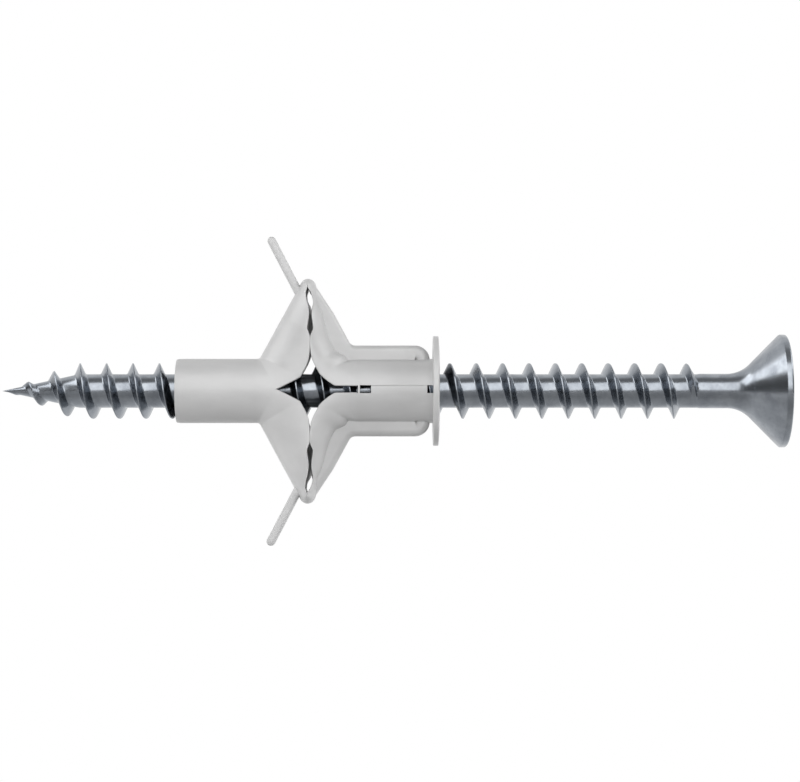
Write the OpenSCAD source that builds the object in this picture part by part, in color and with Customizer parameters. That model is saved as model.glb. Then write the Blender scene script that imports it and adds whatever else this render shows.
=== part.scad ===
// Folding wall plug with its wood screw, in the set state.
// Frame: +X runs along the screw, out of the wall, and +Z is up.
// The origin is the centre of the collar's wall-side face.

/* [Screw] */
// Length of the screw from its point to the face of its head
screw_len = 100; // [90:1:130]
// Distance from the collar's wall-side face to the face of the head
head_reach = 45; // [35:1:70]
// Outside diameter of the thread
thread_d = 7.1; // [6:0.1:8]
// Diameter of the core between the turns of the thread
core_d = 4.3; // [3.4:0.1:5]
// Distance from one turn of the thread to the next
thread_pitch = 3.37; // [2.6:0.01:4.5]
// Width of a turn at its foot
thread_foot = 1.4; // [0.8:0.1:2]
// Width of the narrow land along the edge of a turn
thread_land = 0.16; // [0.1:0.02:0.4]
// Place of a turn's edge on top of the screw, measured from the point
thread_phase = 9.93; // [8:0.01:13]
// Length of the tapered point of the core
point_len = 9.8; // [6:0.1:12]
// Distance from the point to where the thread begins
thread_start = 1; // [0.5:0.1:4]
// Length over which the thread grows to its full height
thread_growth = 7.2; // [4:0.1:12]
// Length of the plain shank under the head
plain_len = 3.8; // [2:0.1:12]
// Diameter of the plain shank
shank_d = 4.4; // [3.6:0.1:5.2]

/* [Screw head] */
// Diameter of the head
head_d = 14.4; // [12:0.1:18]
// Height of the straight rim of the head
rim_land = 0.8; // [0.4:0.1:1.5]
// Radius of the curve that leads from the shank into the cone
flare_r = 4.2; // [2:0.1:5]
// Round on the edge between the rim and the face
rim_round = 0.25; // [0.1:0.05:0.35]
// Size of the six-lobed drive recess across its lobes
drive_d = 6.6; // [5:0.1:7.5]
// Depth of the drive recess
drive_depth = 3.4; // [2:0.1:4]

/* [Sleeves] */
// Free space between the edge of the thread and the bore
bore_clearance = 0.06; // [0.03:0.01:0.1]
// Wall of the sleeves and of the side walls of the legs
sleeve_wall = 0.49; // [0.4:0.01:1]
// Length of the front sleeve, from its end to the first bend
front_sleeve_len = 10.3; // [7:0.1:18]
// Length of the rear sleeve, from the last bend to the collar
rear_sleeve_len = 9.5; // [8:0.1:20]
// Bevel on the end of the front sleeve
front_bevel = 0.2; // [0.05:0.05:0.3]

/* [Collar] */
// Distance from the edge of the head in to the edge of the collar, so that the head can cover the collar
collar_inset = 0.2; // [0:0.05:0.6]
// Thickness of the collar round the bore
collar_thick = 0.8; // [0.6:0.05:2]
// Thickness of the collar at its edge
collar_edge = 0.7; // [0.3:0.05:0.75]
// Width of the flat ring of the collar round its mouth
collar_land = 1.8; // [0.8:0.1:1.8]
// Bevel at the mouth of the bore
mouth_bevel = 0.3; // [0.1:0.05:0.4]

/* [Wings] */
// Height of a folded wing above the sleeve
wing_rise = 10.3; // [7:0.1:14]
// Angle between a folded leg and the screw
leg_angle = 61.5; // [52:0.5:70]
// Wall of a leg along its crown
leg_wall = 0.6; // [0.45:0.05:0.65]
// Radius of the bend between sleeve and leg
hinge_bend = 0.5; // [0.3:0.05:1]
// Outside radius of the fold at a wing's tip
fold_radius = 1; // [0.9:0.05:1.3]
// Extra depth of a leg's side walls below a half tube
side_drop = 1.3; // [1:0.05:1.7]
// Turn of the bend up to which the two legs' side walls stay joined
join_angle = 25.5; // [12:0.5:32]
// Distance from the fold towards the collar to where a wing's two halves meet in its sides
seam_shift = 0.4; // [0:0.05:0.5]
// Width of the slit below the fold
slit_w = 0.6; // [0.3:0.05:0.8]
// Length of the slit along the leg
slit_len = 6; // [3:0.1:7]
// Space left where the two halves of a wing press together
touch_gap = 0.06; // [0.04:0.01:0.1]

/* [Barbs] */
// Length of a barb
barb_len = 7.6; // [4:0.1:10]
// Thickness of a barb
barb_t = 1.1; // [0.8:0.05:1.5]
// Width of a barb
barb_w = 2.4; // [1.6:0.1:4]
// Angle between a barb and the screw, from the head's side
barb_angle = 117.5; // [105:0.5:130]
// Distance from the fold to the barb, along the leg
barb_place = 1.05; // [1:0.05:3]

/* [Ribs] */
// Height of the ribs above the rear sleeve
rib_height = 1.7; // [0.6:0.1:2.4]
// Width of the ribs
rib_w = 2.2; // [1.2:0.1:3.2]
// Round at the collar end of a rib
rib_round = 1.9; // [0.5:0.1:3]
// Space between the end of a rib and the collar
rib_gap = 0.4; // [0.2:0.1:2]
// Height of the rib above the leg's crown line
wing_rib = 0.25; // [0.1:0.05:0.8]
// Distance that the rear half of a leg sinks below its crown line beside the rib
crown_drop = 0.85; // [0.4:0.05:1]
// Length of the bevel at the fold end of a rib
rib_bevel = 0.7; // [0.3:0.1:1.5]

/* [Side slots] */
// Height of the slots in the sides of the rear sleeve
slot_h = 1; // [0.5:0.1:1.6]
// Length of the slot that follows the bridge
slot_len = 1.4; // [0.8:0.1:3]
// Width of the bridge between the side opening and the slot
bridge_w = 0.25; // [0.15:0.05:0.6]
// Length of the tail of the side opening, up to the bridge
tail_len = 3.2; // [2:0.1:3.6]
// Depth of the groove that runs from the slot to the collar
groove_depth = 0.2; // [0.1:0.05:0.3]
// Length of the notch beside the collar
notch_len = 0.75; // [0.4:0.05:1.5]

/* [Hidden] */
$fn = 96;

// Steps of the swept forms
bend_steps = 6;
leg_steps = 9;
fold_steps = 4;
wall_steps = 16;
turn_steps = 24;
flare_steps = 8;
round_steps = 4;

// Allowance by which one form is sunk into another, or a cut runs past a face
sink = 0.3;
past = 1;

// Radii and places along the screw's axis
bore_r = thread_d / 2 + bore_clearance;
tube_r = bore_r + sleeve_wall;
head_r = head_d / 2;
collar_r = head_r - collar_inset;
// The legs are a hair thinner than the sleeves, on both faces, so that they butt against the sleeves' ends
seam_step = 0.03;
leg_r = tube_r - seam_step;
leg_side_wall = sleeve_wall - 2 * seam_step;
tip_x = head_reach - screw_len;

// The screw, measured along its axis from the point
shank_r = shank_d / 2;
cone_angle = 45;
flare_end_r = shank_r + flare_r * (1 - cos(cone_angle));
head_len = rim_land + (head_r - flare_end_r) / tan(cone_angle) + flare_r * sin(cone_angle);
thread_end = screw_len - head_len - plain_len;
// Length over which the thread dies away into the shank, and place of the first row of the thread's skin
thread_runout = 1.4;
first_row = 0.5;
// Lobes of the drive recess, and a lobe's radius as a share of the size across the lobes
lobes = 6;
lobe_share = 0.115;

// A leg in the plane of the fold: its crown line leaves a bend on the sleeve, runs straight up to the fold
// and turns over it
fold_centre_z = leg_r + wing_rise - fold_radius;
leg_top_z = fold_centre_z + fold_radius * cos(leg_angle);
leg_foot_z = leg_r + hinge_bend * (1 - cos(leg_angle));
leg_len = (leg_top_z - leg_foot_z) / sin(leg_angle);
half_span = (hinge_bend + fold_radius) * sin(leg_angle) + leg_len * cos(leg_angle);
rear_bend_x = -rear_sleeve_len;
fold_x = rear_bend_x - half_span;
front_bend_x = fold_x - half_span;
front_end_x = front_bend_x - front_sleeve_len;

// Lengths over which forms of the wing run into each other
slit_taper = 1.2;
depth_blend = 0.8;
shift_taper = 2.5;
drop_taper = 3;

function mix(a, b, t) = a + (b - a) * t;
function clamp01(t) = min(max(t, 0), 1);
function ease(t) = let (c = clamp01(t)) c * c * (3 - 2 * c);
function soft_min(a, b, k) = min(a, b) - pow(max(k - abs(a - b), 0), 2) / (4 * k);

// Space between the two halves of a wing, at distance s from the fold along the leg
function wing_gap(s) = mix(touch_gap, slit_w, ease(s / slit_taper) * ease((slit_len - s) / slit_taper));

// Full depth of a half's side walls below the crown line: side is -1 for the front half, 1 for the rear
function side_depth(side) = leg_r + side_drop - side * seam_shift / sin(leg_angle);

// Depth of a half's side walls: full at the sleeve, limited above it by the plane where the two halves meet
function leg_depth(s, side) =
    let (to_plane = side * seam_shift * ease(s / shift_taper) + wing_gap(s) / 2,
         to_meet = fold_radius + s / tan(leg_angle) - to_plane / sin(leg_angle))
    soft_min(side_depth(side), to_meet, depth_blend);

// Depth of the side walls in the bend: joined along the screw's level first, then swung clear of it
function bend_depth(turn, side) =
    let (bend_r = leg_r + hinge_bend, join_turn = atan(tan(join_angle) - side * seam_shift / bend_r),
         joined = bend_r / cos(min(turn, join_turn)),
         swing = max(turn - join_turn, 0) / (leg_angle - join_turn))
    mix(joined, hinge_bend + side_depth(side), swing * swing) - hinge_bend;

// Distance that the rear half's crown sinks beside its rib: on the leg, at distance s from the fold, and in
// the bend, where the inside of the wall goes no lower than the bore
function rear_drop(s) = crown_drop * ease(s / drop_taper);
function bend_drop(turn, wall) =
    min(crown_drop, max(0, (leg_side_wall + hinge_bend * (1 - cos(turn))) / cos(turn) - wall));

// Stations of half a leg, from the sleeve to the fold's middle. Each lists the distance from the fold's
// plane, height, lean of the outward normal, depth, crown wall and crown drop
function half_leg(side) = let (rear = side > 0 ? 1 : 0) concat(
    [for (i = [0 : bend_steps])
        let (turn = leg_angle * i / bend_steps, wall = mix(leg_side_wall, leg_wall, i / bend_steps))
        [half_span - hinge_bend * sin(turn), leg_r + hinge_bend * (1 - cos(turn)), turn,
         bend_depth(turn, side), wall, rear * bend_drop(turn, wall)]],
    [for (i = [1 : leg_steps])
        let (s = leg_len * (1 - i / leg_steps))
        [fold_radius * sin(leg_angle) + s * cos(leg_angle), leg_top_z - s * sin(leg_angle), leg_angle,
         leg_depth(s, side), leg_wall, rear * rear_drop(s)]],
    [for (i = [1 : fold_steps])
        let (lean = leg_angle * (1 - i / fold_steps))
        [fold_radius * sin(lean), fold_centre_z + fold_radius * cos(lean), lean,
         leg_depth(0, side), leg_wall, 0]]
);

// One face of a leg's wall from rim to rim, as distances across and below the crown line. Under its top it is
// half an ellipse of the full depth, or as much of the tube's half circle as lies above a lesser depth
function wall_face(top, width, depth) =
    let (full = max(depth, leg_r), edge = acos(1 - max(depth - top, 0) / (full - top)))
    [for (i = [0 : wall_steps])
        let (a = edge * (2 * i / wall_steps - 1))
        [width * sin(a), top + (full - top) * (1 - cos(a))]];

// Outline of a leg's open section at a station: over the outside, then back along the inside
function leg_section(station, side) =
    let (x = fold_x + side * station[0], z = station[1], lean = side * station[2], depth = station[3],
         wall = station[4], drop = station[5], outside = wall_face(drop, leg_r, depth),
         inside = wall_face(drop + wall, leg_r - leg_side_wall, depth))
    [for (p = concat(outside, [for (i = [wall_steps : -1 : 0]) inside[i]]))
        [x - p[1] * sin(lean), p[0], z - p[1] * cos(lean)]];

// Solid swept through the sections: a skin of triangle pairs, and a strip across each open end
module leg() {
    front = half_leg(-1);
    rear = half_leg(1);
    last = len(front) - 1;
    sections = concat(
        [for (i = [0 : last]) leg_section(front[i], -1)],
        [for (i = [last - 1 : -1 : 0]) leg_section(rear[i], 1)]
    );
    ring = 2 * (wall_steps + 1);
    rows = len(sections);
    skin = [for (r = [0 : rows - 2], i = [0 : ring - 1])
        let (j = (i + 1) % ring, a = r * ring, b = a + ring)
        each [[a + i, b + j, b + i], [a + i, a + j, b + j]]];
    ends = [for (r = [0, rows - 1], i = [0 : wall_steps - 1])
        let (o = r * ring + i, p = r * ring + ring - 1 - i)
        each (r > 0 ? [[o, o + 1, p - 1], [o, p - 1, p]] : [[o, p - 1, o + 1], [o, p, p - 1]])];
    polyhedron([for (s = sections) each s], concat(skin, ends));
}

// Children drawn in the X and Z plane, made into a slab across the plug
module across(width) {
    rotate([90, 0, 0]) linear_extrude(width, center = true) children();
}

// Profile of radius and along-axis points, turned about the screw's axis
module turned() {
    rotate([90, 0, 90]) rotate_extrude() children();
}

module both_halves() {
    children();
    mirror([0, 0, 1]) children();
}

module front_sleeve() {
    turned() polygon([
        [bore_r, front_end_x], [tube_r - front_bevel, front_end_x], [tube_r, front_end_x + front_bevel],
        [tube_r, front_bend_x], [bore_r, front_bend_x]
    ]);
}

// Rear sleeve and collar are one turned form, with a bevelled mouth for the screw
module rear_sleeve_and_collar() {
    turned() polygon([
        [bore_r, rear_bend_x], [tube_r, rear_bend_x], [tube_r, 0], [collar_r, 0], [collar_r, collar_edge],
        [bore_r + mouth_bevel + collar_land, collar_thick], [bore_r + mouth_bevel, collar_thick],
        [bore_r, collar_thick - mouth_bevel]
    ]);
}

// Point on the rear half's crown line, at distance s from the fold and height h above the line
function rear_crown(s, h) = [
    fold_x + fold_radius * sin(leg_angle) + s * cos(leg_angle) + h * sin(leg_angle),
    leg_top_z - s * sin(leg_angle) + h * cos(leg_angle)
];

// Rib that runs along the rear sleeve, rounded off at the collar, and on up the rear half of the leg
module rib() {
    top_z = tube_r + rib_height;
    end_x = -rib_gap - rib_round;
    meet_x = rear_crown((leg_top_z - top_z) / sin(leg_angle), 0)[0];
    // The rib starts one bevel from the fold, and is full a second bevel further on
    full_at = 2 * rib_bevel;
    across(rib_w) {
        translate([meet_x, tube_r - sink]) square([end_x - meet_x, rib_height + sink]);
        intersection() {
            translate([end_x, top_z - rib_round]) circle(rib_round);
            translate([end_x, tube_r - sink]) square([rib_round, rib_height + sink]);
        }
        polygon(concat(
            [rear_crown(leg_len, wing_rib), rear_crown(full_at, wing_rib), rear_crown(rib_bevel, 0)],
            [for (i = [0 : leg_steps])
                let (s = mix(rib_bevel, leg_len, i / leg_steps))
                rear_crown(s, -rear_drop(s) - sink)]
        ));
    }
}

// Tongue with a round end that stands out from the front half of the leg
module barb() {
    foot = [fold_x - fold_radius * sin(leg_angle) - barb_place * cos(leg_angle),
            leg_top_z - barb_place * sin(leg_angle)];
    lean = barb_angle - leg_angle;
    half_t = barb_t / 2;
    across(barb_w) translate(foot) rotate(barb_angle) {
        polygon([
            for (side = [-1, 1])
                let (root = [(-sink + side * half_t * cos(lean)) / sin(lean), side * half_t],
                     end = [barb_len - half_t, side * half_t])
                each (side < 0 ? [root, end] : [end, root])
        ]);
        translate([barb_len - half_t, 0]) circle(half_t);
    }
}

// Cuts in the two sides: the tail of the side opening, the slot past the bridge, the groove and the notch
module side_cuts() {
    tail_end_x = rear_bend_x;
    slot_x = tail_end_x + bridge_w;
    groove_x = slot_x + slot_len;
    through = 2 * (tube_r + past);
    for (cut = [[tail_end_x - tail_len, tail_len], [slot_x, slot_len], [-notch_len, notch_len]])
        across(through) translate([cut[0], -slot_h / 2]) square([cut[1], slot_h]);
    for (side = [-1, 1])
        translate([groove_x, side * (tube_r - groove_depth + past / 2) - past / 2, -slot_h / 2])
            cube([-notch_len - groove_x, past, slot_h]);
}

module plug() {
    color([0.80, 0.80, 0.79]) difference() {
        union() {
            front_sleeve();
            rear_sleeve_and_collar();
            both_halves() {
                leg();
                rib();
                barb();
            }
        }
        side_cuts();
    }
}

// Thread and core as one skin. The grid follows the helix: each column is one step round the screw and one
// step further along it, so the end of a turn meets the start of the next. Fans to the axis close the ends
module threaded_core() {
    profile = [0, (thread_foot - thread_land) / 2, (thread_foot + thread_land) / 2, thread_foot];
    per_turn = len(profile);
    // The edge of a turn is on top of the screw a quarter turn after the first column
    top_share = 0.25;
    lead_in = first_row + top_share * thread_pitch + thread_foot / 2;
    first = thread_phase - thread_foot / 2 - thread_pitch * floor((thread_phase - lead_in) / thread_pitch);
    turns = ceil((thread_end + sink - first) / thread_pitch + top_share);
    rows = turns * per_turn + 1;
    last = rows - 1;
    edge = turn_steps - 1;
    end_u = first + (turns + 1) * thread_pitch;
    tip = turn_steps * rows;

    function along(i, k) =
        first + profile[k % per_turn] + thread_pitch * (floor(k / per_turn) + i / turn_steps - top_share);
    function core_at(u) = core_d / 2 * clamp01(u / point_len);
    function height_at(u) =
        (thread_d - core_d) / 2 * clamp01((u - thread_start) / thread_growth)
        * ease((thread_end - u) / thread_runout);
    function grid_point(i, k) =
        let (u = along(i, k), on_edge = k % per_turn == 1 || k % per_turn == 2,
             r = core_at(u) + (on_edge ? height_at(u) : 0), a = 360 * i / turn_steps)
        [tip_x + u, r * cos(a), r * sin(a)];
    function at(i, k) = i < turn_steps ? i * rows + k : (i - turn_steps) * rows + k + per_turn;

    skin = [for (i = [0 : edge], k = [0 : last - 1])
        if (i < edge || k + per_turn < last)
            let (a = at(i, k), b = at(i, k + 1), c = at(i + 1, k + 1), d = at(i + 1, k))
            each [[a, b, c], [a, c, d]]];
    start_loop = concat([for (i = [0 : edge]) at(i, 0)], [for (k = [per_turn : -1 : 1]) at(0, k)]);
    end_loop = concat([for (i = [0 : edge]) at(i, last)], [for (k = [1 : per_turn]) at(edge, last - k)]);
    loop_len = len(start_loop);
    fans = [for (j = [0 : loop_len - 1])
        let (n = (j + 1) % loop_len)
        each [[start_loop[j], start_loop[n], tip], [end_loop[n], end_loop[j], tip + 1]]];
    polyhedron(
        concat(
            [for (i = [0 : edge], k = [0 : last]) grid_point(i, k)],
            [[tip_x, 0, 0], [tip_x + end_u, 0, 0]]
        ),
        concat(skin, fans)
    );
}

// Plain shank, flare, countersunk cone and rim, as radius and distance from the point
module shank_and_head() {
    flare_start = screw_len - head_len;
    translate([tip_x, 0, 0]) turned() polygon(concat(
        [[0, thread_end]],
        [[shank_r, thread_end]],
        [for (i = [0 : flare_steps])
            let (a = cone_angle * i / flare_steps)
            [shank_r + flare_r * (1 - cos(a)), flare_start + flare_r * sin(a)]],
        [[head_r, screw_len - rim_land]],
        [for (i = [0 : round_steps])
            let (a = 90 * i / round_steps)
            [head_r - rim_round * (1 - cos(a)), screw_len - rim_round * (1 - sin(a))]],
        [[0, screw_len]]
    ));
}

// Six-lobed recess in the face of the head
module drive_recess() {
    lobe_r = drive_d * lobe_share;
    lobe_place = drive_d / 2 - lobe_r;
    translate([head_reach + past, 0, 0]) rotate([0, -90, 0]) linear_extrude(drive_depth + past) {
        circle(lobe_place);
        for (i = [0 : lobes - 1])
            rotate(360 * i / lobes) translate([lobe_place, 0]) circle(lobe_r);
    }
}

module screw() {
    color([0.60, 0.62, 0.65]) difference() {
        union() {
            threaded_core();
            shank_and_head();
        }
        drive_recess();
    }
}

plug();
screw();
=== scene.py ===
"""Looks of a folding wall plug with its wood screw: surfaces, finishes, light and camera.

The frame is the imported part's own. +X runs along the screw, out of the wall, +Z is up, and the origin is the
centre of the collar's wall-side face. Sizes are in millimetres until a mesh is made from them.
"""

import logging
import math
from dataclasses import dataclass, field
from enum import Enum
from typing import Any

import bmesh
import bpy
import numpy as np
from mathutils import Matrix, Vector


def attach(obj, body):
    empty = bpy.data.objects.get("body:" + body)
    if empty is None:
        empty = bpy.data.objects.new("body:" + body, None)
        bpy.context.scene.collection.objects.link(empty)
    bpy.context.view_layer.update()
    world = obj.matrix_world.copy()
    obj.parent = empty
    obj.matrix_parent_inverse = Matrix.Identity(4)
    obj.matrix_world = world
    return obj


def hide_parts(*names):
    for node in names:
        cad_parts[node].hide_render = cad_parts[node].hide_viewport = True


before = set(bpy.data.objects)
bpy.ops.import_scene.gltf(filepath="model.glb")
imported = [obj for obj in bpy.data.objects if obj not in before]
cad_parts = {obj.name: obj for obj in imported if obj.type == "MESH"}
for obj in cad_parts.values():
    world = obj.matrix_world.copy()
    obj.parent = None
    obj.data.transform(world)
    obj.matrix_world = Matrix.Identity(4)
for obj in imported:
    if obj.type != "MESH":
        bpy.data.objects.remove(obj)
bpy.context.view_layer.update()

Array = np.ndarray
Material = bpy.types.Material
Object = bpy.types.Object
Socket = bpy.types.NodeSocket
Span = tuple[float, float]
Tree = bpy.types.NodeTree

LOG = logging.getLogger("wall_plug")
MM = 0.001
WELD_MM = 0.0015  # points nearer to each other become one
SLIVER_MM = 0.0005  # thinner faces are dissolved
NEARLY_STRAIGHT = 1.56  # half a corner's angle in radians, above which it isn't rounded
TINY = 1e-6
FULL_TURN = 2.0 * math.pi
QUARTER_TURN = 0.5 * math.pi
WHITE = "#ffffff"


class Body(Enum):
    """Moving bodies of the part."""

    PLUG = "plug"
    SCREW = "screw"


class Slot(Enum):
    """Material slots of the part."""

    NYLON = "nylon"
    STEEL = "zinc_steel"


class Half(Enum):
    """The plug's two mirrored halves, with the sign of their Z."""

    UPPER = 1.0
    LOWER = -1.0

    def mirrored(self, grid: Array) -> Array:
        """Moves points of the upper half to this half."""
        return grid * np.array([1.0, 1.0, self.value])


class Reach(Enum):
    """What a lamp is for: matt surfaces, or the reflections in shiny ones."""

    MATT = "key light"
    SHINE = "reflection card"


def mix(a: Any, b: Any, share: Any) -> Any:
    """Goes from a to b by a share."""
    return a + (b - a) * share


def ease(t: Any) -> Array:
    """Rises from 0 to 1 with level ends."""
    c = np.clip(t, 0.0, 1.0)
    return c * c * (3.0 - 2.0 * c)


def soft_min(a: Any, b: Any, blend: Any) -> Array:
    """Gives the smaller of two values, rounded off where they are within blend of each other."""
    return np.minimum(a, b) - np.maximum(blend - np.abs(a - b), 0.0) ** 2 / (4.0 * blend)


def soft_max(a: Any, b: Any, blend: Any) -> Array:
    """Gives the larger of two values, rounded off where they are within blend of each other."""
    return -soft_min(-np.asarray(a), -np.asarray(b), blend)


def chain(*parts: Any) -> Array:
    """Joins arrays end to end."""
    return np.concatenate(parts)


def stacked(*parts: Any) -> Array:
    """Stretches values to their common shape and stacks them along a last axis."""
    return np.stack(np.broadcast_arrays(*parts), axis=-1)


def around(x: Any, radius: Any, angles: Array) -> Array:
    """Gives points at x, radius times sine and radius times cosine of an angle from +Z towards +Y."""
    return stacked(x, radius * np.sin(angles), radius * np.cos(angles))


def closing(row: Array) -> Array:
    """Draws a row of points together at their middle, which closes the end of a tube."""
    return (row.mean(axis=0) + 0.0 * row)[None]


def lengths(path: Array) -> Array:
    """Gives the length of a line up to each of its points."""
    return chain([0.0], np.cumsum(np.linalg.norm(np.diff(path, axis=0), axis=1)))


def resampled(path: Array, spacing: float) -> Array:
    """Spaces the points of a line evenly, at about the wanted distance, and keeps its ends."""
    length = lengths(path)
    at = np.linspace(0.0, length[-1], int(math.ceil(length[-1] / spacing)) + 1)
    return np.stack([np.interp(at, length, path[:, k]) for k in range(path.shape[1])], axis=1)


def rounded_path(corners: list[Span], radii: list[float], steps: int = 6) -> Array:
    """Rounds the inner corners of a broken line.

    Each becomes an arc that touches both of its sides: its centre lies on the bisector, and its points are
    the centre plus the radius times the directions between the two sides' normals.

    Args:
        corners: points of the line.
        radii: radius of each inner corner, where 0 keeps it sharp.
        steps: steps of an arc.

    Returns:
        Points of the rounded line, as an array of two columns.
    """
    points = np.array(corners, float)
    out = [points[:1]]
    for before, corner, after, radius in zip(points[:-2], points[1:-1], points[2:], radii):
        to_a = (before - corner) / np.linalg.norm(before - corner)
        to_b = (after - corner) / np.linalg.norm(after - corner)
        half = 0.5 * math.acos(float(np.clip(to_a @ to_b, -1.0, 1.0)))
        if radius <= 0.0 or half > NEARLY_STRAIGHT:
            out.append(corner[None])
            continue
        reach = radius / math.tan(half)
        bisector = (to_a + to_b) / np.linalg.norm(to_a + to_b)
        centre = corner + bisector * radius / math.sin(half)
        start, end = corner + to_a * reach - centre, corner + to_b * reach - centre
        turn = math.pi - 2.0 * half
        w = np.linspace(0.0, 1.0, steps + 1)[:, None]
        out.append(centre + (np.sin((1.0 - w) * turn) * start + np.sin(w * turn) * end) / math.sin(turn))
    out.append(points[-1:])
    return chain(*out)


@dataclass
class Skin:
    """Surface gathered from grids of points and welded into one mesh.

    Each point also carries three marks: two coordinates of the surface in millimetres, and its strain.
    """

    points: list[Array] = field(default_factory=list)
    marks: list[Array] = field(default_factory=list)
    quads: list[Array] = field(default_factory=list)
    count: int = 0

    def place(self, grid: Array, marks: Array | None = None) -> Array:
        """Adds the points of a grid.

        Args:
            grid: points, as rows by columns by 3.
            marks: marks of the points, of the same shape.

        Returns:
            Indices of the points, as rows by columns.
        """
        index = self.count + np.arange(grid.shape[0] * grid.shape[1]).reshape(grid.shape[:2])
        self.points.append(grid.reshape(-1, 3))
        self.marks.append(np.zeros((index.size, 3)) if marks is None else marks.reshape(-1, 3))
        self.count += index.size
        return index

    def cover(self, index: Array, keep: Array | None = None, flip: bool = False) -> None:
        """Adds the cells between placed points, which face along row direction times column direction.

        Args:
            index: indices of the points, as rows by columns.
            keep: which cells are covered.
            flip: whether the cells face the other way.
        """
        cells = np.stack([index[:-1, :-1], index[1:, :-1], index[1:, 1:], index[:-1, 1:]], axis=-1)
        cells = cells.reshape(-1, 4) if keep is None else cells[keep]
        self.quads.append(cells[:, ::-1] if flip else cells)

    def grid(self, grid: Array, keep: Array | None = None, flip: bool = False,
             marks: Array | None = None) -> None:
        """Places a grid of points and covers its cells."""
        self.cover(self.place(grid, marks), keep, flip)

    def piece(self, name: str, sharp_degrees: float = 30.0) -> Object:
        """Makes the object: welds points that coincide, and shades smoothly up to an angle.

        Args:
            name: name of the object and its mesh.
            sharp_degrees: angle between faces above which an edge stays sharp.

        Returns:
            The object, at the origin, with a UV map and a strain attribute.
        """
        mesh = bpy.data.meshes.new(name)
        mesh.from_pydata(chain(*self.points) * MM, [], chain(*self.quads).tolist())
        marks = chain(*self.marks)
        corners = np.empty(len(mesh.loops), np.int32)
        mesh.loops.foreach_get("vertex_index", corners)
        uv = mesh.uv_layers.new(name="surface_mm")
        uv.uv.foreach_set("vector", marks[corners, :2].astype(np.float32).ravel())
        strain = mesh.attributes.new("strain", "FLOAT", "POINT")
        strain.data.foreach_set("value", marks[:, 2].astype(np.float32))
        solid = bmesh.new()
        solid.from_mesh(mesh)
        bmesh.ops.remove_doubles(solid, verts=solid.verts, dist=WELD_MM * MM)
        bmesh.ops.dissolve_degenerate(solid, edges=solid.edges, dist=SLIVER_MM * MM)
        solid.to_mesh(mesh)
        solid.free()
        mesh.polygons.foreach_set("use_smooth", np.ones(len(mesh.polygons), bool))
        mesh.set_sharp_from_angle(angle=math.radians(sharp_degrees))
        made = bpy.data.objects.new(name, mesh)
        bpy.context.scene.collection.objects.link(made)
        return made


@dataclass
class Stations:
    """Places along half a leg, from its sleeve to its fold; depths are for the near and far side wall."""

    out: Array
    height: Array
    lean: Array
    depth: Array
    wall: Array
    drop: Array
    shift: Array
    blend: Array
    strain: Array


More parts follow.
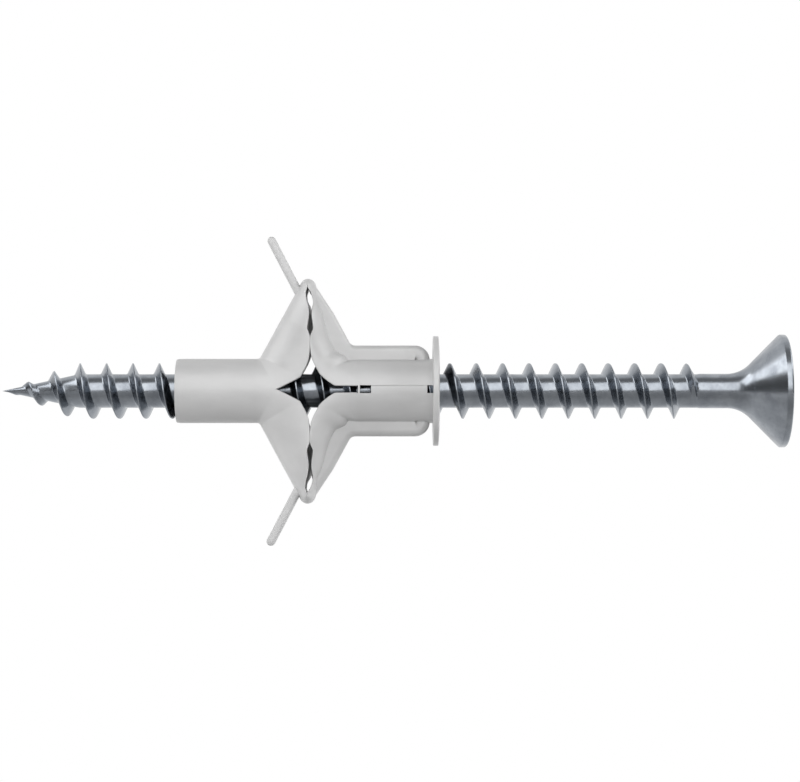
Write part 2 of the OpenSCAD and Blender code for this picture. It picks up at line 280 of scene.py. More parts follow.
@dataclass
class FoldedPlug:
    """The moulded plug in its set state: two sleeves, a collar, and four legs folded into two wings."""

    # Sleeves and collar
    bore_r: float = 3.61
    tube_r: float = 4.10
    front_sleeve_len: float = 10.3
    rear_sleeve_len: float = 9.5
    front_round: float = 0.28
    bore_round: float = 0.12
    collar_r: float = 7.0
    collar_thick: float = 0.8
    collar_edge: float = 0.7
    collar_land: float = 1.8
    collar_round: float = 0.14
    land_round: float = 0.5
    mouth_bevel: float = 0.3
    mouth_round: float = 0.08
    throat_round: float = 0.1

    # Legs, and the slit between a wing's halves
    wing_rise: float = 10.27
    leg_angle: float = math.radians(61.5)
    leg_wall: float = 0.6
    hinge_bend: float = 0.5
    fold_radius: float = 1.0
    side_drop: float = 1.3
    join_angle: float = math.radians(25.5)
    seam_shift: float = 0.4
    slit_w: float = 0.64
    slit_wave: float = 0.34
    slit_peak: float = 1.75
    slit_period: float = 4.0
    slit_start: float = 0.15
    slit_rise: float = 0.8
    slit_len: float = 6.9
    far_slit_len: float = 2.9
    far_relief: float = 0.4
    slit_taper: float = 1.4
    touch_gap: float = 0.02
    shift_taper: float = 2.8
    depth_blend: float = 0.8
    crown_drop: float = 0.85
    drop_taper: float = 3.0
    dent: float = 0.9
    dent_len: float = 5.0
    dent_end: float = 10.4
    dent_taper: float = 1.6
    section_blend: float = 1.6
    rim_round: float = 0.1
    bend_strain: float = 0.8
    strain_len: float = 1.6

    # Side slots of the rear sleeve
    slot_h: float = 1.0
    bridge_w: float = 0.25
    slot_len: float = 1.4
    groove_depth: float = 0.12
    notch_len: float = 0.75

    # Ribs and barbs, whose feet are sunk into the wall
    rib_height: float = 1.7
    rib_w: float = 2.2
    rib_round: float = 1.9
    rib_gap: float = 0.4
    wing_rib: float = 0.25
    rib_start: float = 0.3
    rib_start_sink: float = 0.12
    rib_full: float = 4.6
    rib_bow: float = 3.0
    rib_bend: float = 0.9
    rib_edge: float = 0.8
    barb_len: float = 7.6
    barb_t: float = 1.1
    barb_w: float = 2.4
    barb_angle: float = math.radians(117.5)
    barb_place: float = 1.05
    barb_flatness: float = 0.35
    barb_edge: float = 0.5
    barb_tip_inset: float = 0.35
    wing_sink: float = 0.3
    sleeve_sink: float = 0.2
    sink_blend: float = 0.6

    # Density of the meshes, and edges that stay sharp
    wall_columns: int = 57
    side_columns: int = 7
    sleeve_rows: tuple[int, ...] = (2, 4, 16, 3)
    leg_rows: tuple[int, ...] = (25, 72, 13)
    rim_cells: int = 4
    meet_steps: int = 20
    front_row: float = 0.45
    rib_row: float = 0.14
    rib_steps: int = 12
    barb_rows: int = 22
    barb_columns: int = 41
    round_rows: int = 9
    sharp_degrees: float = 38.0
    barb_sharp_degrees: float = 50.0

    def __post_init__(self) -> None:
        """Works out where the legs' parts lie."""
        self.sin, self.cos = math.sin(self.leg_angle), math.cos(self.leg_angle)
        self.fold_z = self.tube_r + self.wing_rise - self.fold_radius
        self.top_z = self.fold_z + self.fold_radius * self.cos
        foot_z = self.tube_r + self.hinge_bend * (1.0 - self.cos)
        self.leg_len = (self.top_z - foot_z) / self.sin
        self.half_span = (self.hinge_bend + self.fold_radius) * self.sin + self.leg_len * self.cos
        self.rear_bend_x = -self.rear_sleeve_len
        self.fold_x = self.rear_bend_x - self.half_span
        self.front_bend_x = self.fold_x - self.half_span
        self.front_end_x = self.front_bend_x - self.front_sleeve_len
        self.side_wall = self.tube_r - self.bore_r
        self.slot_z = 0.5 * self.slot_h

    def rear_drop(self, s: Array) -> Array:
        """Sinks the rear half's crown at distance s from the fold, with a dent above the bend."""
        start, end = ease((s - self.drop_taper) / self.dent_len), ease((self.dent_end - s) / self.dent_taper)
        return self.crown_drop * ease(s / self.drop_taper) + self.dent * start * end

    def wing_gap(self, below: Array, far: bool) -> Array:
        """Gives the gap between a wing's halves: a slit with two bulges, and on the far side one."""
        turn = FULL_TURN * (below - self.slit_peak) / self.slit_period
        wave = self.slit_w * (1.0 + self.slit_wave * np.cos(turn))
        end = self.far_slit_len if far else self.slit_len
        opened = ease((below - self.slit_start) / self.slit_rise) * ease((end - below) / self.slit_taper)
        return mix(self.touch_gap, wave, opened)

    def full_depth(self, side: float, far: bool) -> float:
        """Gives the full depth of a half's side wall below the crown line."""
        relief = self.far_relief if far else 0.0
        return self.tube_r + self.side_drop - relief - side * self.seam_shift / self.sin

    def leg_depth(self, s: Array, side: float, far: bool) -> Array:
        """Gives the depth of a half's side wall: full, or as far as the surface where the two halves meet.

        That surface depends on the height below the fold, and so on the depth itself: each step goes to the
        depth at which an upright wall would reach the surface, and the steps soon settle.

        Args:
            s: distances from the fold along the leg.
            side: -1 for the front half, 1 for the rear half.
            far: whether it is the wall at +Y.

        Returns:
            Depths below the crown line.
        """
        to_meet = self.fold_radius + s * self.cos / self.sin
        for _ in range(self.meet_steps):
            below = s * self.sin + (to_meet - self.fold_radius) * self.cos
            seam = side * self.seam_shift * ease(below / self.shift_taper)
            to_seam = s * self.cos - (seam + 0.5 * self.wing_gap(below, far))
            to_meet = self.fold_radius + to_seam / self.sin
        return soft_min(self.full_depth(side, far), to_meet, self.depth_blend)

    def half_leg(self, rear: bool) -> Stations:
        """Lists the stations of half a leg.

        The bend turns about a point above the sleeve, where the side walls stay joined up to an angle and
        then swing clear; the straight part's walls reach to full depth or to the seam; the fold is an arc.

        Args:
            rear: whether it is the half beside the collar, which carries the rib.

        Returns:
            The stations, from the sleeve to the middle of the fold.
        """
        alpha, bend, fold = self.leg_angle, self.hinge_bend, self.fold_radius
        side = 1.0 if rear else -1.0
        to_leg, to_fold, to_middle = (np.linspace(0.0, 1.0, rows) for rows in self.leg_rows)
        turn = alpha * to_leg
        join = math.atan(math.tan(self.join_angle) - side * self.seam_shift / (self.tube_r + bend))
        joined = (self.tube_r + bend) / np.cos(np.minimum(turn, join))
        swing = np.maximum(turn - join, 0.0) / (alpha - join)
        bend_wall = mix(self.side_wall, self.leg_wall, turn / alpha)
        room = (self.side_wall + bend * (1.0 - np.cos(turn))) / np.cos(turn) - bend_wall
        bend_drop = np.minimum(self.crown_drop, np.maximum(room, 0.0))

        s = self.leg_len * (1.0 - to_fold[1:])
        lean = alpha * (1.0 - to_middle[1:])
        flat = np.ones_like
        walls = [chain(mix(joined, bend + self.full_depth(side, far), swing ** 2) - bend,
                       self.leg_depth(s, side, far), self.leg_depth(0.0 * lean, side, far))
                 for far in (False, True)]
        drop = chain(bend_drop, self.rear_drop(s), 0.0 * lean)
        return Stations(
            out=chain(self.half_span - bend * np.sin(turn), fold * self.sin + s * self.cos,
                      fold * np.sin(lean)),
            height=chain(self.tube_r + bend * (1.0 - np.cos(turn)), self.top_z - s * self.sin,
                         self.fold_z + fold * np.cos(lean)),
            lean=chain(turn, alpha * flat(s), lean),
            depth=np.stack(walls, axis=1),
            wall=chain(bend_wall, self.leg_wall * flat(s), self.leg_wall * flat(lean)),
            drop=drop * (1.0 if rear else 0.0),
            shift=self.seam_shift * chain(flat(turn), ease(s / self.shift_taper), 0.0 * lean),
            blend=self.section_blend * chain(np.maximum(turn / alpha, TINY), flat(s), flat(lean)),
            strain=chain(np.sin(math.pi * turn / alpha) * self.bend_strain, ease(1.0 - s / self.strain_len),
                         flat(lean)),
        )

    def leg_half_grid(self, rear: bool) -> tuple[Array, Array]:
        """Works out the closed sections of half a leg.

        At angle a from the crown, a wall's point is the tube's radius times the sine of a across, and its
        drop plus its remaining depth times one minus the cosine of a below the crown, along the station's
        normal. A section less deep than the tube's half circle keeps the circle and ends at a smaller angle.
        The sections run over the outside, round one rim, back along the inside and round the other rim.

        Args:
            rear: whether it is the half beside the collar, whose rims stay clear of the side slot.

        Returns:
            Points as stations by loop by 3, and the points' marks.
        """
        st = self.half_leg(rear)
        side = 1.0 if rear else -1.0
        t = np.linspace(-1.0, 1.0, self.wall_columns)
        out, height, lean, blend = (v[:, None] for v in (side * st.out, st.height, side * st.lean, st.blend))
        depth = st.depth[:, (t > 0.0).astype(int)]
        full = soft_max(depth, self.tube_r, blend)
        to_edge = np.minimum(depth, (height - self.slot_z) / np.cos(lean) if rear else full)

        def wall(drop: Array, radius: float) -> Array:
            """Gives one face of the wall, cut off at its depth and where it would reach the side slot."""
            drop = drop[:, None]
            a = np.arccos(1.0 - np.clip((to_edge - drop) / (full - drop), 0.0, 1.0)) * t
            d = drop + (full - drop) * (1.0 - np.cos(a))
            return stacked(self.fold_x + out - d * np.sin(lean), radius * np.sin(a),
                           height - d * np.cos(lean))

        outside = wall(st.drop, self.tube_r)
        inside = wall(st.drop + st.wall, self.bore_r)[:, ::-1]

        def rim(start: Array, end: Array, towards: Array) -> Array:
            """Rounds a rim: half an ellipse from outside to inside, which is one plain edge at the sleeve."""
            bent = st.lean > 0.0
            away = towards / np.linalg.norm(towards, axis=-1, keepdims=True)
            middle = 0.5 * (start + end)
            room = np.minimum(np.abs(middle[:, 0] - self.fold_x - st.shift), middle[:, 2])
            bulge = np.clip(0.5 * room, 0.0, self.rim_round) * bent
            b = np.linspace(0.0, math.pi, self.rim_cells + 1)[1:-1]
            plain = np.ones_like(b)
            plain[-1] = -1.0
            across = np.where(bent[:, None], np.cos(b), plain)[..., None]
            return (middle[:, None] + 0.5 * (start - end)[:, None] * across
                    + (bulge[:, None] * away)[:, None] * np.sin(b)[:, None])

        right = rim(outside[:, -1], inside[:, 0], outside[:, -1] - outside[:, -2])
        left = rim(inside[:, -1], outside[:, 0], outside[:, 0] - outside[:, 1])
        loop = np.concatenate([outside, right, inside, left, outside[:, :1]], axis=1)
        return loop, stacked(0.0, 0.0, np.broadcast_to(st.strain[:, None], loop.shape[:2]))

    def add_legs(self, skin: Skin) -> None:
        """Adds the upper and lower leg; where their rims are joined, beside the front sleeve, none shows.

        Args:
            skin: surface that gets the legs.
        """
        front, front_marks = self.leg_half_grid(rear=False)
        rear, rear_marks = self.leg_half_grid(rear=True)
        loop = chain(front, rear[-2::-1])
        marks = chain(front_marks, rear_marks[-2::-1])
        columns = np.arange(loop.shape[1] - 1)
        last, cells = self.wall_columns - 1, self.rim_cells
        on_rim = ((columns >= last) & (columns < last + cells)) | (columns >= 2 * last + cells)
        rim_z = loop[:, last, 2]
        joined = (rim_z[:-1] < TINY) & (rim_z[1:] < TINY)
        keep = ~(joined[:, None] & on_rim)
        for half in Half:
            skin.grid(half.mirrored(loop), keep, flip=half is Half.LOWER, marks=marks)

    def add_front_sleeve(self, skin: Skin) -> None:
        """Adds the front sleeve: a turned profile from the outside of the bend to the end and back inside.

        Args:
            skin: surface that gets the sleeve.
        """
        near, far = self.front_end_x, self.front_bend_x
        profile = resampled(rounded_path(
            [(far, self.tube_r), (near, self.tube_r), (near, self.bore_r), (far, self.bore_r)],
            [self.front_round, self.bore_round]), self.front_row)
        upper = np.linspace(-QUARTER_TURN, QUARTER_TURN, self.wall_columns)
        angles = chain(upper, upper[1:] + math.pi)
        skin.grid(around(profile[:, :1], profile[:, 1:], angles), flip=True)

    def side_angles(self, radius: float) -> Array:
        """Lists the columns round the rear sleeve, doubled at the edges of the side slots."""
        edge = math.acos(self.slot_z / radius)
        top = np.linspace(-edge, edge, self.wall_columns)
        flank = np.linspace(edge, math.pi - edge, self.side_columns)
        return chain(top, flank, top + math.pi, flank + math.pi, [FULL_TURN - edge])

    def add_rear_sleeve(self, skin: Skin) -> None:
        """Adds the rear sleeve with its side slots, bridges, grooves and notches.

        The outside and the inside are turned grids with the same rows. Cells of the slots and notches stay
        open, a groove's cells lie deeper, and a wall joins outside and inside along the edge of each opening.

        Args:
            skin: surface that gets the sleeve.
        """
        slot_x = self.rear_bend_x + self.bridge_w
        groove_x = slot_x + self.slot_len
        stops = [self.rear_bend_x, slot_x, groove_x, -self.notch_len, 0.0]
        spans = zip(stops[:-1], stops[1:], self.sleeve_rows)
        x = chain(*(np.linspace(a, b, rows, endpoint=False) for a, b, rows in spans), [0.0])
        outer_angles, inner_angles = self.side_angles(self.tube_r), self.side_angles(self.bore_r)
        n, m = self.wall_columns, self.side_columns
        flank = np.zeros(outer_angles.size, bool)
        flank[n:n + m] = flank[2 * n + m:2 * n + 2 * m] = True
        grooved = (x >= groove_x - TINY) & (x <= -self.notch_len + TINY)
        radius = self.tube_r - self.groove_depth * (grooved[:, None] & flank)
        o = skin.place(around(x[:, None], radius, outer_angles))
        i = skin.place(around(x[:, None], self.bore_r, inner_angles))

        middle = 0.5 * (x[:-1] + x[1:])
        open_row = ((middle > slot_x) & (middle < groove_x)) | (middle > -self.notch_len)
        beside, step = flank[:-1] & flank[1:], flank[:-1] ^ flank[1:]
        keep = ~(open_row[:, None] & beside)
        skin.cover(o, keep)
        skin.cover(i, keep & ~step, flip=True)

        solid = chain(~beside[None], keep, np.ones((1, beside.size), bool))
        for facing in (True, False):
            r, c = np.nonzero((solid[:-1] != solid[1:]) & (solid[:-1] == facing))
            ends = np.stack([o[r, c], i[r, c], i[r, c + 1], o[r, c + 1]], axis=-1)
            r, c = np.nonzero((keep[:, :-1] != keep[:, 1:]) & (keep[:, :-1] == facing))
            sides = np.stack([o[r, c + 1], o[r + 1, c + 1], i[r + 1, c + 1], i[r, c + 1]], axis=-1)
            walls = chain(ends, sides)
            skin.quads.append(walls if facing else walls[:, ::-1])

    def add_collar(self, skin: Skin) -> None:
        """Adds the collar: a turned profile from the sleeve's outside over the edge to the bevelled mouth.

        Args:
            skin: surface that gets the collar.
        """
        mouth = self.bore_r + self.mouth_bevel
        profile = rounded_path(
            [(0.0, self.tube_r), (0.0, self.collar_r), (self.collar_edge, self.collar_r),
             (self.collar_thick, mouth + self.collar_land), (self.collar_thick, mouth),
             (self.collar_thick - self.mouth_bevel, self.bore_r), (0.0, self.bore_r)],
            [self.collar_round, self.collar_round, self.land_round, self.mouth_round, self.throat_round])
        inner = np.linspace(0.0, 1.0, len(profile))[:, None] > 0.5
        angles = np.where(inner, self.side_angles(self.bore_r), self.side_angles(self.tube_r))
        skin.grid(around(profile[:, :1], profile[:, 1:], angles))

    def rear_crown(self, s: float, above: float) -> Span:
        """Gives the place along X and Z at distance s from the fold and above the rear half's crown line."""
        return (self.fold_x + self.fold_radius * self.sin + s * self.cos + above * self.sin,
                self.top_z - s * self.sin + above * self.cos)

    def add_rib(self, skin: Skin, half: Half) -> None:
        """Adds a rib: a slab with rounded edges along the rear half of the wing and the rear sleeve.

        Its top line comes from the fold down the wing, turns on to the sleeve and rounds off at the collar.
        The section goes from the sunk foot up one side, over a rounded edge, across and down the other side.

        Args:
            skin: surface that gets the rib.
            half: half of the plug that the rib is on.
        """
        top = self.tube_r + self.rib_height
        slope = (self.top_z + self.wing_rib * self.cos - top) / self.sin
        corner = self.rear_crown(slope, self.wing_rib)
        line = resampled(rounded_path(
            [self.rear_crown(self.rib_start, -self.rib_start_sink),
             self.rear_crown(self.rib_full, self.wing_rib), corner, (-self.rib_gap, top),
             (-self.rib_gap, self.tube_r - self.sleeve_sink)],
            [self.rib_bow, self.rib_bend, self.rib_round], self.rib_steps), self.rib_row)
        along = np.gradient(line, axis=0)
        along /= np.linalg.norm(along, axis=1, keepdims=True)
        normal = np.stack([-along[:, 1], along[:, 0]], axis=1)

        from_fold = line - np.array(self.rear_crown(0.0, 0.0))
        up, down = np.array([self.sin, self.cos]), np.array([self.cos, -self.sin])
        on_wing = from_fold @ up + self.rear_drop(from_fold @ down) + self.wing_sink
        past_corner = ease((line[:, 0] - corner[0] + 0.5 * self.sink_blend) / self.sink_blend)
        sink = mix(on_wing, self.rib_round + self.sleeve_sink, past_corner)[:, None]

        half_w = 0.5 * self.rib_w
        arc = np.linspace(0.0, QUARTER_TURN, self.round_rows)
        inset, lowered = self.rib_edge * (1.0 - np.cos(arc)), self.rib_edge * (1.0 - np.sin(arc))
        across = chain([-half_w], -half_w + inset, [0.0], half_w - inset[::-1], [half_w, -half_w])
        lowered = chain([0.0], lowered, [0.0], lowered[::-1], [0.0, 0.0])
        foot = np.zeros(across.size, bool)
        foot[[0, -2, -1]] = True
        depth = np.where(foot, sink, np.minimum(lowered, sink))
        sides = stacked(line[:, :1] - depth * normal[:, :1], across, line[:, 1:] - depth * normal[:, 1:])
        solid = chain(closing(sides[0]), sides, closing(sides[-1]))
        skin.grid(half.mirrored(solid), flip=half is Half.LOWER)

    def add_barb(self, skin: Skin, half: Half) -> None:
        """Adds a barb: a flat tongue with a round end that stands out from the front half of the wing.

        Its section is a superellipse of the tongue's width and thickness. The rows start on a slant inside
        the leg's wall, run straight out, and the last ones shrink along a quarter circle to close the tip.

        Args:
            skin: surface that gets the barb.
            half: half of the plug that the barb is on.
        """
        foot_x = self.fold_x - self.fold_radius * self.sin - self.barb_place * self.cos
        foot_z = self.top_z - self.barb_place * self.sin
        lean = self.barb_angle - self.leg_angle
        half_t, half_w = 0.5 * self.barb_t, 0.5 * self.barb_w
        b = np.linspace(0.0, FULL_TURN, self.barb_columns)
        flat = np.sign(np.cos(b)) * np.abs(np.cos(b)) ** self.barb_flatness
        thick = np.sign(np.sin(b)) * np.abs(np.sin(b)) ** self.barb_edge
        straight = np.linspace(0.0, 1.0, self.barb_rows)
        tip = np.linspace(0.0, QUARTER_TURN, self.round_rows)[1:]
        share = chain(straight, np.ones_like(tip))[:, None]
        beyond = chain(0.0 * straight, half_t * np.sin(tip))[:, None]
        shrink = chain(np.ones_like(straight), np.cos(tip))[:, None]
        start = (-self.wing_sink - half_t * thick * math.cos(lean)) / math.sin(lean)
        u = mix(start, self.barb_len - half_t, share) + beyond
        n = half_t * thick * shrink
        y = flat * (half_w - self.barb_tip_inset * (1.0 - shrink))
        ca, sa = math.cos(self.barb_angle), math.sin(self.barb_angle)
        rows = stacked(foot_x + u * ca - n * sa, y, foot_z + u * sa + n * ca)
        solid = chain(closing(rows[0]), rows)
        skin.grid(half.mirrored(solid), flip=half is Half.UPPER)

    def build(self) -> list[Object]:
        """Builds the plug's pieces: the folded tube with its collar, and the ribs and barbs moulded on it."""
        tube = Skin()
        self.add_legs(tube)
        self.add_front_sleeve(tube)
        self.add_rear_sleeve(tube)
        self.add_collar(tube)
        made = [tube.piece("plug_folded_tube", self.sharp_degrees)]
        for half in Half:
            rib, barb = Skin(), Skin()
            self.add_rib(rib, half)
            self.add_barb(barb, half)
            made.append(rib.piece(f"plug_rib_{half.name.lower()}", self.sharp_degrees))
            made.append(barb.piece(f"plug_barb_{half.name.lower()}", self.barb_sharp_degrees))
        return made


@dataclass
class WoodScrew:
    """The countersunk wood screw: a threaded core with a sharp point, a plain shank, and a head."""

    tip_x: float = -55.0
    length: float = 100.0

    # Thread and core
    thread_d: float = 7.1
    core_d: float = 4.3
    pitch: float = 3.37
    thread_foot: float = 1.4
    thread_land: float = 0.16
    thread_phase: float = 9.93
    root_round: float = 0.3
    crest_round: float = 0.06
    point_len: float = 9.8
    thread_start: float = 1.0
    thread_growth: float = 7.2
    thread_runout: float = 1.4

    # Shank and head
    plain_len: float = 3.8
    shank_d: float = 4.4
    neck_len: float = 0.35
    neck_end: float = 1.5
    head_d: float = 14.4
    rim_land: float = 0.8
    flare_r: float = 4.2
    flare_round: float = 0.2
    rim_round: float = 0.25
    face_ring: float = 1.2

    # Six-lobed recess
    drive_d: float = 6.6
    drive_depth: float = 3.4
    lobes: int = 6
    lobe_share: float = 0.115
    lobe_blend: float = 0.2
    mouth_swell: float = 1.045

    # Density of the mesh, and edges that stay sharp
    turn_columns: int = 84
    flare_rows: int = 15
    thread_steps: int = 4
    sharp_degrees: float = 40.0

    def __post_init__(self) -> None:
        """Works out the thread's height, and where the head and the thread end."""
        self.rise = 0.5 * (self.thread_d - self.core_d)
        root = math.sqrt(0.5)
        flare_end = 0.5 * self.shank_d + self.flare_r * (1.0 - root)
        head_len = self.rim_land + (0.5 * self.head_d - flare_end) + self.flare_r * root
        self.flare_x = self.length - head_len
        self.thread_end = self.flare_x - self.plain_len

    def turned(self, u: Any, radius: Any, angle: Array) -> Array:
        """Gives points at u from the tip, radius times cosine and radius times sine of an angle from +Y."""
        return stacked(self.tip_x + u, radius * np.cos(angle), radius * np.sin(angle))

    def core(self, u: Array) -> Array:
        """Gives the core's radius at distance u from the point."""
        return 0.5 * self.core_d * np.clip(u / self.point_len, 0.0, 1.0)

    def height(self, u: Array) -> Array:
        """Gives the thread's height: it grows behind the point and dies away at the shank."""
        grown = np.clip((u - self.thread_start) / self.thread_growth, 0.0, 1.0)
        return self.rise * grown * ease((self.thread_end - u) / self.thread_runout)

    def add_thread(self, skin: Skin) -> None:
        """Adds thread and core as one strip wound round the screw.

        The profile spans one pitch: half a root, a flank, the land, a flank and half a root. At turn p it
        lies at the phase plus the pitch times p less a quarter, and its radius is the core plus the thread's
        height times the profile. Places beyond the point or the shank are drawn back to them.

        Args:
            skin: surface that gets the thread.
        """
        foot, land, half_pitch = 0.5 * self.thread_foot, 0.5 * self.thread_land, 0.5 * self.pitch
        profile = rounded_path(
            [(-half_pitch, 0.0), (-foot, 0.0), (-land, self.rise), (land, self.rise), (foot, 0.0),
             (half_pitch, 0.0)],
            [self.root_round, self.crest_round, self.crest_round, self.root_round], self.thread_steps)
        turns = math.ceil((self.thread_end + 2.0 * self.pitch) / self.pitch)
        first = -math.ceil(self.thread_phase / self.pitch) - 1
        steps = first * self.turn_columns + np.arange((turns + 1) * self.turn_columns + 1)
        angle = FULL_TURN * steps[:, None] / self.turn_columns
        place = self.thread_phase + self.pitch * (angle / FULL_TURN - 0.25) + profile[:, 0]
        u = np.clip(place, 0.0, self.thread_end)
        radius = self.core(u) + self.height(u) * profile[:, 1] / self.rise
        marks = stacked(angle * 0.5 * self.core_d, profile[:, 0] + profile[:, 1], 0.0)
        skin.grid(self.turned(u, radius, angle), marks=marks)

    def lobe_radius(self, angle: Array) -> Array:
        """Gives the recess's radius: six round lobes on a circle, with the valleys between them rounded."""
        lobe = self.drive_d * self.lobe_share
        place = 0.5 * self.drive_d - lobe
        swing = FULL_TURN / self.lobes
        off = (angle - QUARTER_TURN + 0.5 * swing) % swing - 0.5 * swing
        reach = place * np.cos(off) + np.sqrt(np.maximum(lobe ** 2 - (place * np.sin(off)) ** 2, 0.0))
        inside = np.abs(place * np.sin(off)) < lobe
        return soft_max(np.where(inside, reach, 0.0), place, self.lobe_blend)

    def add_head(self, skin: Skin) -> None:
        """Adds the shank, the flared cone, the rim and the face with its recess, turned about the axis.

        Each ring of the face has its way from the rim's ring to the recess, its share of the lobes' radius,
        and its depth: four flat rings, then the mouth's edge, the wall and the floor.

        Args:
            skin: surface that gets the head.
        """
        rim, shank = 0.5 * self.head_d, 0.5 * self.shank_d
        arc = np.linspace(0.0, 0.5 * QUARTER_TURN, self.flare_rows)
        flare = stacked(self.flare_x + self.flare_r * np.sin(arc), shank + self.flare_r * (1.0 - np.cos(arc)))
        neck = np.array([[self.thread_end, 0.5 * self.core_d], [self.thread_end + self.neck_len, shank],
                         [self.thread_end + self.neck_end, shank]])
        edge = rounded_path(
            [tuple(flare[-1]), (self.length - self.rim_land, rim), (self.length, rim),
             (self.length, rim - self.face_ring)], [self.flare_round, self.rim_round])
        path = chain(neck, flare, edge[1:])
        angle = FULL_TURN * np.arange(self.turn_columns + 1) / self.turn_columns
        along = lengths(path)[:, None]
        marks = stacked(angle * 0.5 * self.shank_d, along, 0.0)
        skin.grid(self.turned(path[:, :1], path[:, 1:], angle), flip=True, marks=marks)

        lobes, deep = self.lobe_radius(angle), self.drive_depth
        rings = np.array([
            (0.0, 1.0, 0.0), (0.35, 1.0, 0.0), (0.7, 1.0, 0.0), (0.92, 1.0, 0.0),
            (1.0, self.mouth_swell, 0.0), (1.0, 1.012, 0.05), (1.0, 1.0, 0.16), (1.0, 0.985, 0.5 * deep),
            (1.0, 0.97, deep), (1.0, 0.5, deep + 0.12), (1.0, 0.0, deep + 0.2)])
        way, share, down = rings[:, :1], rings[:, 1:2], rings[:, 2:]
        flat = mix(rim - self.face_ring, self.mouth_swell * lobes, way)
        radius = np.where(way < 1.0, flat, share * lobes)
        marks = stacked(angle * rim * 0.5, along[-1] + rim - radius, 0.0)
        skin.grid(self.turned(self.length - down, radius, angle), flip=True, marks=marks)

    def build(self) -> list[Object]:
        """Builds the screw as one welded skin."""
        skin = Skin()
        self.add_thread(skin)
        self.add_head(skin)
        return [skin.piece("wood_screw", self.sharp_degrees)]


def linear(hex_colour: str) -> tuple[float, float, float, float]:
    """Turns an sRGB hex colour into linear red, green, blue and alpha."""
    parts = np.array([int(hex_colour[k:k + 2], 16) for k in (1, 3, 5)]) / 255.0
    light = np.where(parts <= 0.04045, parts / 12.92, ((parts + 0.055) / 1.055) ** 2.4)
    return (*light.tolist(), 1.0)


def add_node(tree: Tree, kind: str, inputs: dict[str | int, Any] | None = None,
             **settings: Any) -> bpy.types.Node:
    """Adds a shader node with its settings and links.

    Args:
        tree: tree that gets the node.
        kind: Blender's name of the node's type.
        inputs: for an input's name or number, its value or the socket that is linked to it.
        settings: properties of the node.

    Returns:
        The node.
    """
    node = tree.nodes.new(kind)
    for name, value in settings.items():
        setattr(node, name, value)
    for key, value in (inputs or {}).items():
        if isinstance(value, Socket):
            tree.links.new(value, node.inputs[key])
        else:
            node.inputs[key].default_value = value
    return node


def calculated(tree: Tree, operation: str, *values: Any) -> Socket:
    """Adds a calculation with values or sockets, and returns its result."""
    return add_node(tree, "ShaderNodeMath", dict(enumerate(values)), operation=operation).outputs["Value"]


def ranged(tree: Tree, value: Socket, source: Span, target: Span = (0.0, 1.0),
           smooth: bool = False) -> Socket:
    """Adds a step from one range of values to another, with level ends where it is smooth."""
    return add_node(tree, "ShaderNodeMapRange", {
        "Value": value, "From Min": source[0], "From Max": source[1],
        "To Min": target[0], "To Max": target[1]},
        interpolation_type="SMOOTHSTEP" if smooth else "LINEAR").outputs["Result"]


def blended(tree: Tree, share: Socket, a: Any, b: Any) -> Socket:
    """Adds a mix from colour a to colour b, and returns the colour."""
    node = add_node(tree, "ShaderNodeMix", {"Factor": share, "A": a, "B": b}, data_type="RGBA")
    return node.outputs["Result"]


def scaled(tree: Tree, vector: Socket, scale: tuple[float, float, float]) -> Socket:
    """Adds a scaling of coordinates, and returns them."""
    return add_node(tree, "ShaderNodeMapping", {"Vector": vector, "Scale": scale}).outputs["Vector"]


def noise(tree: Tree, vector: Socket, scale: float, detail: float, roughness: float) -> Socket:
    """Adds a cloudy pattern, and returns its value."""
    return add_node(tree, "ShaderNodeTexNoise", {
        "Vector": vector, "Scale": scale, "Detail": detail, "Roughness": roughness}).outputs["Fac"]


def seen_rays(tree: Tree) -> tuple[Socket, Socket]:
    """Adds marks of the rays that see a surface, directly or in the shine of another, and directly alone."""
    rays = add_node(tree, "ShaderNodeLightPath").outputs
    seen = calculated(tree, "MAXIMUM", rays["Is Camera Ray"], rays["Is Glossy Ray"])
    return calculated(tree, "MAXIMUM", seen, rays["Is Transmission Ray"]), rays["Is Camera Ray"]


def new_material(name: str) -> tuple[Material, Tree]:
    """Makes an empty node material."""
    made = bpy.data.materials.new(name)
    made.use_nodes = True
    made.node_tree.nodes.clear()
    return made, made.node_tree


def per_metre(millimetres: float) -> float:
    """Turns the size of a pattern's feature into a texture scale on coordinates in metres."""
    return 1.0 / (millimetres * MM)


@dataclass(frozen=True)
class MouldedNylon:
    """Grey polyamide, injection moulded: a soft sheen, faint flow marks, and folds a little paler."""

    colour: str = "#cecece"
    flow_colour: str = "#c7c7c7"
    strained_colour: str = "#d6d6d6"
    strain_share: float = 0.4
    flow_mm: float = 2.6
    flow_stretch: float = 0.45
    flow_detail: float = 4.0
    flow_roughness: float = 0.55
    colour_span: Span = (0.32, 0.68)
    sheen_span: Span = (0.3, 0.7)
    roughness: Span = (0.29, 0.41)
    refraction: float = 1.58

    def material(self) -> Material:
        """Makes the material."""
        made, tree = new_material("moulded_grey_nylon")
        place = add_node(tree, "ShaderNodeTexCoord").outputs["Object"]
        drawn = scaled(tree, place, (self.flow_stretch, 1.0, 1.0))
        flow = noise(tree, drawn, per_metre(self.flow_mm), self.flow_detail, self.flow_roughness)
        strain = add_node(tree, "ShaderNodeAttribute", attribute_name="strain").outputs["Fac"]
        spread = ranged(tree, flow, self.colour_span)
        body = blended(tree, spread, linear(self.flow_colour), linear(self.colour))
        paler = calculated(tree, "MULTIPLY", strain, self.strain_share)
        shader = add_node(tree, "ShaderNodeBsdfPrincipled", {
            "Base Color": blended(tree, paler, body, linear(self.strained_colour)),
            "Roughness": ranged(tree, flow, self.sheen_span, self.roughness), "IOR": self.refraction})
        add_node(tree, "ShaderNodeOutputMaterial", {"Surface": shader.outputs["BSDF"]})
        return made


